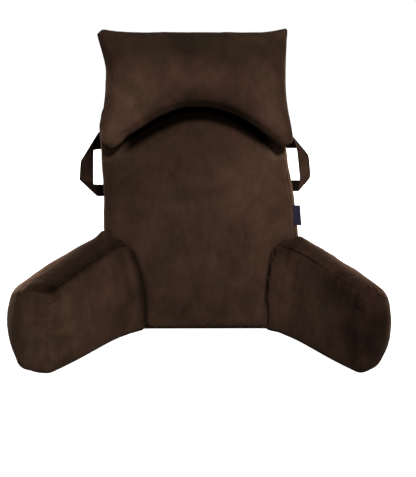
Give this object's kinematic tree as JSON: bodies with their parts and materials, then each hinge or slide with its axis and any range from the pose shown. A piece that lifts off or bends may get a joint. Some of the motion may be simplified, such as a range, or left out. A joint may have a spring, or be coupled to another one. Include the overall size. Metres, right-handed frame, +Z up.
{
  "type": "reading pillow with arms",
  "caption": "Filled velour backrest cushion with splayed armrests, flat carrying handles at its sides and an arched neck pillow leaning on its top.",
  "frame": {"origin": "on the floor, under the middle of the whole object's box", "axes": "+Z up, the open side between the arms faces -Y, +X to the right as seen from the front"},
  "size_m": [0.8692, 0.427, 0.7218],
  "materials": {
    "velour": "dark brown velour with a short mottled nap",
    "strap_cloth": "dark brown flat strap cloth, slightly smoother than the velour",
    "label_cloth": "navy woven ribbon, plain"
  },
  "bodies": {
    "root": {"back": "velour", "arm_left": "velour", "arm_right": "velour", "neck_pillow": "velour", "handle_left": "strap_cloth", "handle_right": "strap_cloth", "label": "label_cloth"}
  },
  "joints": []
}
